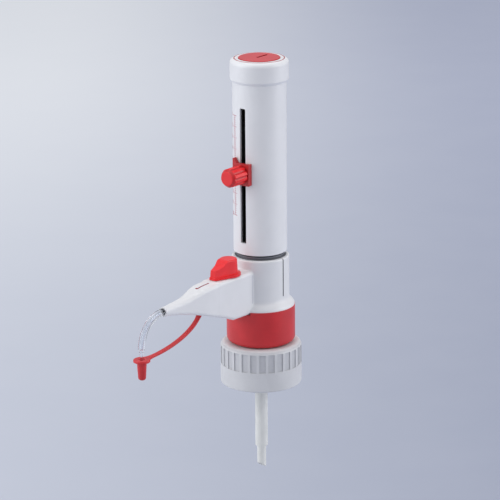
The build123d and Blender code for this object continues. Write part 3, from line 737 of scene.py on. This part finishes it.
def number(bm, text, angle, z, height):
    """A figure of the scale, turned into faces, which read rightly from outside once wrapped."""
    letters = bpy.data.curves.new("figure", "FONT")
    letters.body = text
    letters.size = height * FONT_SHARE
    letters.align_x = "CENTER"
    letters.align_y = "CENTER"
    holder = bpy.data.objects.new("figure", letters)
    bpy.context.scene.collection.objects.link(holder)
    bpy.context.view_layer.update()
    flat = bpy.data.meshes.new_from_object(holder.evaluated_get(bpy.context.evaluated_depsgraph_get()))
    flat.transform(Matrix.Translation((arc(angle), z, 0)) @ Matrix.Diagonal((-1, 1, 1, 1)))
    bm.from_mesh(flat)
    bpy.data.objects.remove(holder)
    bpy.data.curves.remove(letters)
    bpy.data.meshes.remove(flat)


def wrapped(bm):
    """Bends the flat layout round the housing. Flat x is the arc from the slot, flat y the height."""
    bmesh.ops.triangulate(bm, faces=bm.faces)
    grown = bmesh.ops.extrude_face_region(bm, geom=bm.faces[:], use_keep_orig=True)
    raised = [v for v in grown["geom"] if isinstance(v, bmesh.types.BMVert)]
    bmesh.ops.translate(bm, vec=(0, 0, INK), verts=raised)
    for vert in bm.verts:
        angle = pi - vert.co.x / HOUSING_R
        r = HOUSING_R + vert.co.z
        vert.co = (r * cos(angle), r * sin(angle), vert.co.y)
    return bm


scale = bmesh.new()
line_length = 9 * PER_ML + 0.6 * MM
bar(scale, LINE_ANGLE - LINE_HALF, LINE_ANGLE + LINE_HALF, ZERO_Z - 5.5 * PER_ML, line_length)
for fifth in range(5, 51):
    start, end, thick = (FIFTH_IN, FIFTH_OUT, FIFTH_THICK) if fifth % 5 else (TICK_IN, TICK_OUT, TICK_THICK)
    bar(scale, start, end, ZERO_Z - fifth / 5 * PER_ML, thick)
for whole in range(1, 11):
    number(scale, str(whole), NUMBER_ANGLE, ZERO_Z - whole * PER_ML, NUMBER_HEIGHT)
print(f"flat scale: {len(scale.faces)} faces")

# %% [markdown]
# The ink is a dull red. It is very slightly worn where the thumb passes, so a fine noise lets a
# little of the white through in the colour.

# %% Print the scale
def ink(name, colour, worn):
    """Printed ink, with the worn colour showing in small rubbed spots."""
    material, shader = new_material(name)
    tree = material.node_tree
    where = place(tree)
    rub = noise(where, 0.35, 3).step(0.58, 0.72) * noise(where, 7, 2).step(0.35, 0.6)
    link(tree, shader, "Base Color", rub.blend(colour, worn))
    link(tree, shader, "Roughness", 0.42 + noise(where, 0.4, 2) * 0.12)
    link(tree, shader, "Normal", bump(noise(where, 0.15, 2), 0.004))
    return material


scale_ink = ink("dull_red_ink", rgb(176, 62, 84), rgb(214, 170, 180))
scale_print = finish_mesh("volume_scale_print", wrapped(scale), scale_ink, angle=30)
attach(scale_print, "piston_unit")

# %% [markdown]
# ## Light, floor and background
#
# The room light is soft and cool and comes from a large window on the left and a bright wall on
# the right, with the side towards the viewer a little darker, which is what draws the soft upright
# band down the middle of the white housing. Two large softboxes and a ceiling panel give that. A
# weak lamp from above the viewer lifts the upper housing, and a low even world light fills the
# rest. The floor is a pale blue-grey with painted light and shade in its colour: darker towards the
# right and, where the camera sees it, paler further off, as the window's light falls off. It keeps
# the dispenser's shadow. A share of that colour is shown to the camera alone, so the far floor can
# be as pale as the near one without more light on the object.

# %% Set up the studio
AIM_Z = 0.06
FLOOR_Z = -0.14                # just under the filling tube's end when it is drawn out
FLOOR_GLOW = 0.55              # share of the floor's light that only the camera sees
ROOM_LIGHT = 0.52              # strength of the world light on the object
ROOM_SEEN = 0.3                # added where the camera, a reflection or a clear part sees it


def softbox(name, where, size, power, tint):
    """A soft lamp of that size in metres, aimed at the dispenser."""
    lamp = bpy.data.lights.new(name, "AREA")
    lamp.shape = "RECTANGLE"
    lamp.size, lamp.size_y = size
    lamp.energy = power
    lamp.color = tint
    holder = bpy.data.objects.new(name, lamp)
    aim = Vector((0, 0, AIM_Z)) - where
    holder.matrix_world = Matrix.Translation(where) @ aim.to_track_quat("-Z", "Y").to_matrix().to_4x4()
    bpy.context.scene.collection.objects.link(holder)
    return holder


near = Vector((back.x, back.y, 0)).normalized()
height = Vector((0, 0, 1))
softbox("window", right * -1.5 + near * 0.35 + height * 0.75, (1.3, 1.5), 17, (0.98, 0.99, 1.0))
softbox("bright_wall", right * 1.5 + near * 0.15 + height * 0.55, (1.2, 1.4), 14, (0.99, 0.99, 1.0))
softbox("ceiling", near * -0.2 + height * 1.7, (1.6, 1.6), 12, (1.0, 1.0, 1.0))
softbox("front_fill", near * 0.7 + height * 0.9, (0.8, 0.5), 0.9, (1.0, 1.0, 1.0))

world = bpy.data.worlds.new("pale_room")
world.use_nodes = True
bpy.context.scene.world = world
tree = world.node_tree
shade = tree.nodes["Background"]
shade.inputs["Color"].default_value = rgb(214, 217, 225)
paths = tree.nodes.new("ShaderNodeLightPath")
seen = Wire(tree, paths.outputs["Is Camera Ray"])
for ray in ("Is Glossy Ray", "Is Transmission Ray"):
    seen = seen.maths("MAXIMUM", seen, Wire(tree, paths.outputs[ray]))
tree.links.new((seen * ROOM_SEEN + ROOM_LIGHT).socket, shade.inputs["Strength"])

floor_mesh = bmesh.new()
bmesh.ops.create_grid(floor_mesh, x_segments=8, y_segments=8, size=8)
bmesh.ops.translate(floor_mesh, vec=(0, 0, FLOOR_Z), verts=floor_mesh.verts)
floor_paint, shader = new_material("pale_blue_grey_floor")
tree = floor_paint.node_tree
where = place(tree)


def along(direction):
    """Distance in metres along a level direction."""
    return where.node("ShaderNodeVectorMath", {0: where, 1: direction}, out=1, operation="DOT_PRODUCT")


# Painted shade and light on the floor: darker towards the right, and in the camera's share paler further
# off.
painted_shade_right = along(right).step(-0.3, 0.3)
painted_light_far = along(near * -1).step(0.1, 1.5)
mottle = noise(where, 60, 3)
paint = painted_shade_right.blend(rgb(214, 218, 228), rgb(176, 182, 200))
glow = painted_light_far.blend(
    painted_shade_right.blend(rgb(177, 183, 199), rgb(142, 148, 168)),
    painted_shade_right.blend(rgb(247, 250, 255), rgb(184, 190, 212)),
)
link(tree, shader, "Base Color", (mottle.step(0.3, 0.7) * 0.04).blend(paint, rgb(255, 255, 255)))
link(tree, shader, "Roughness", 0.85 + mottle * 0.1)
lit = where.node("ShaderNodeEmission", {"Color": glow, "Strength": 1.0})
camera_ray = where.node("ShaderNodeLightPath")
mixed = where.node(
    "ShaderNodeMixShader", {0: camera_ray * FLOOR_GLOW, 1: Wire(tree, shader.outputs[0]), 2: lit},
)
tree.links.new(mixed.socket, tree.nodes["Material Output"].inputs["Surface"])
floor = finish_mesh("floor", floor_mesh, floor_paint)

# %% [markdown]
#
# The Standard view shows a colour about as it was written.

# %% Finish
bpy.context.scene.view_settings.view_transform = "Standard"
